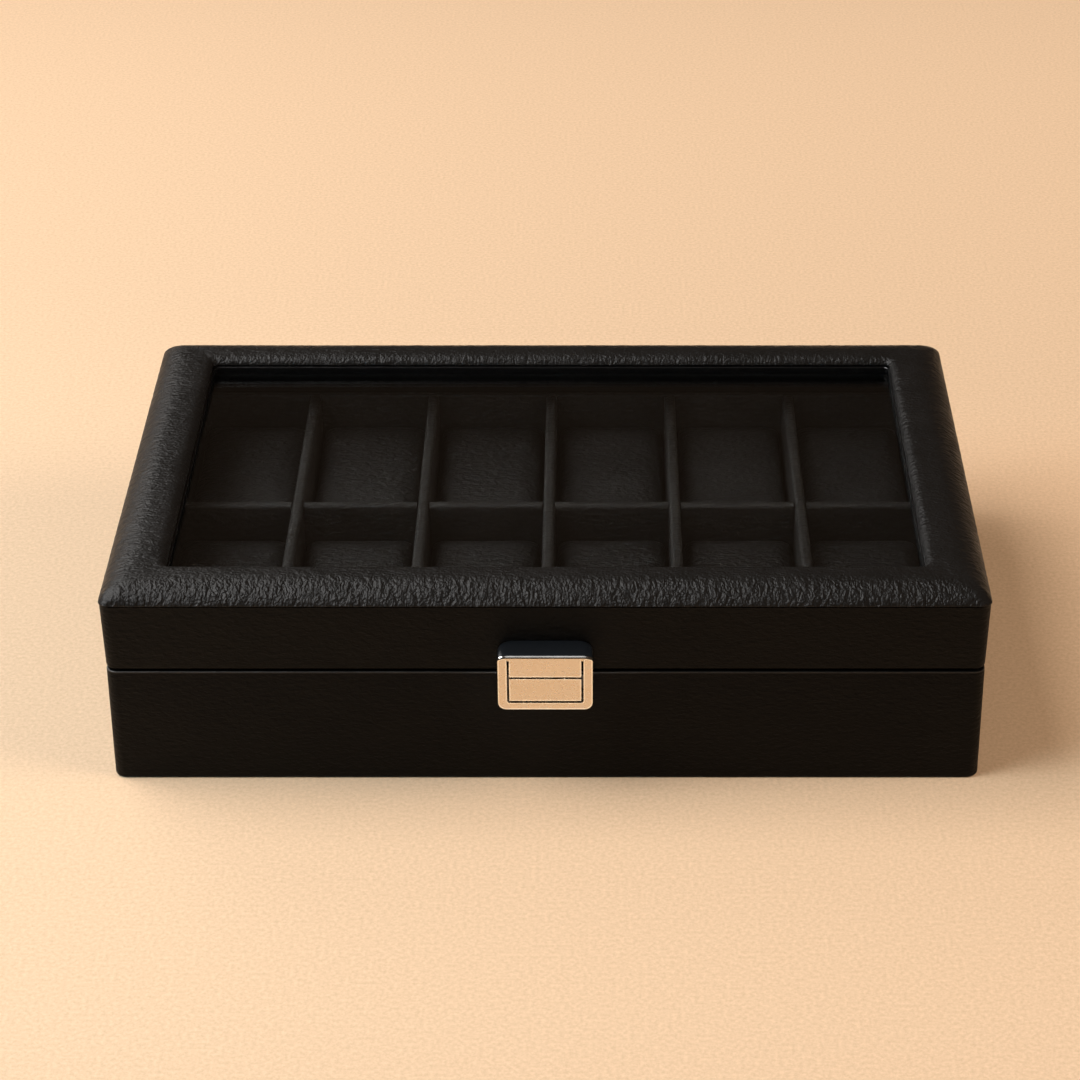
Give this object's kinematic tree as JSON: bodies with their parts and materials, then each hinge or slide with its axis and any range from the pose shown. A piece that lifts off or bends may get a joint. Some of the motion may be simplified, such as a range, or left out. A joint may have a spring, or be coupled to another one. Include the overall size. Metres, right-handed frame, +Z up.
{
  "type": "watch box",
  "caption": "Leather-covered watch box with a padded lid framing a glass window, cushioned compartments in two rows and a sprung push-button clasp.",
  "frame": {"origin": "centre of the whole object's footprint, on the surface that it stands on", "axes": "+X to the right seen from the front, +Y from the clasp towards the hinges, +Z up"},
  "size_m": [0.3322, 0.2266, 0.083],
  "materials": {
    "fibreboard": "raw medium-density fibreboard",
    "case_leather": "black fine-grain faux leather, satin",
    "padded_leather": "black grained faux leather over foam, satin",
    "trim_leather": "black smooth faux leather",
    "divider_leather": "black grained faux leather, matt",
    "cushion_leather": "black grained faux leather over foam, matt",
    "felt": "black felt",
    "lining": "black lining",
    "glass": "clear float glass",
    "clasp_gold": "champagne gold plating, satin",
    "hinge_gold": "champagne gold plating, satin",
    "hook_black_nickel": "polished black nickel plating",
    "steel": "zinc-plated steel"
  },
  "bodies": {
    "base": {"base_front_board": "fibreboard", "base_rear_board": "fibreboard", "base_left_board": "fibreboard", "base_right_board": "fibreboard", "bottom_board": "fibreboard", "base_leather_cover": "case_leather", "bottom_felt": "felt", "liner_front": "lining", "liner_rear": "lining", "liner_left": "lining", "liner_right": "lining", "floor_lining": "felt", "long_divider": "divider_leather", "cross_divider_1": "divider_leather", "cross_divider_2": "divider_leather", "cross_divider_3": "divider_leather", "cross_divider_4": "divider_leather", "cross_divider_5": "divider_leather", "watch_cushion_01": "cushion_leather", "watch_cushion_02": "cushion_leather", "watch_cushion_03": "cushion_leather", "watch_cushion_04": "cushion_leather", "watch_cushion_05": "cushion_leather", "watch_cushion_06": "cushion_leather", "watch_cushion_07": "cushion_leather", "watch_cushion_08": "cushion_leather", "watch_cushion_09": "cushion_leather", "watch_cushion_10": "cushion_leather", "watch_cushion_11": "cushion_leather", "watch_cushion_12": "cushion_leather", "clasp_housing": "clasp_gold", "clasp_back_plate": "steel", "clasp_rivet_left": "steel", "clasp_rivet_right": "steel", "button_spring": "steel", "hinge_base_leaf_left": "hinge_gold", "hinge_base_leaf_right": "hinge_gold", "hinge_pin_left": "steel", "hinge_pin_right": "steel"},
    "lid": {"lid_front_board": "fibreboard", "lid_rear_board": "fibreboard", "lid_left_board": "fibreboard", "lid_right_board": "fibreboard", "lid_leather_cover": "case_leather", "lid_top_panel": "fibreboard", "glass_pane": "glass", "glass_retainer": "lining", "lid_lining": "lining", "window_trim": "trim_leather", "lid_padded_frame": "padded_leather", "clasp_hook": "hook_black_nickel", "clasp_tongue": "clasp_gold", "hook_rivet_left": "steel", "hook_rivet_right": "steel", "hinge_lid_leaf_left": "hinge_gold", "hinge_lid_leaf_right": "hinge_gold"},
    "button": {"clasp_button": "clasp_gold", "latch_nose": "steel"}
  },
  "joints": [
    {"name": "lid_hinge", "type": "hinge", "parent": "base", "child": "lid", "pos_m": [0, 0.11145, 0.0485], "axis": [-1, 0, 0], "range_deg": [0, 95]},
    {"name": "button_press", "type": "slide", "parent": "base", "child": "button", "axis": [0, 1, 0], "range_m": [0, 0.0015], "stiffness_N_per_m": 1500, "springref_m": -0.0007, "deforming": ["button_spring"]}
  ]
}
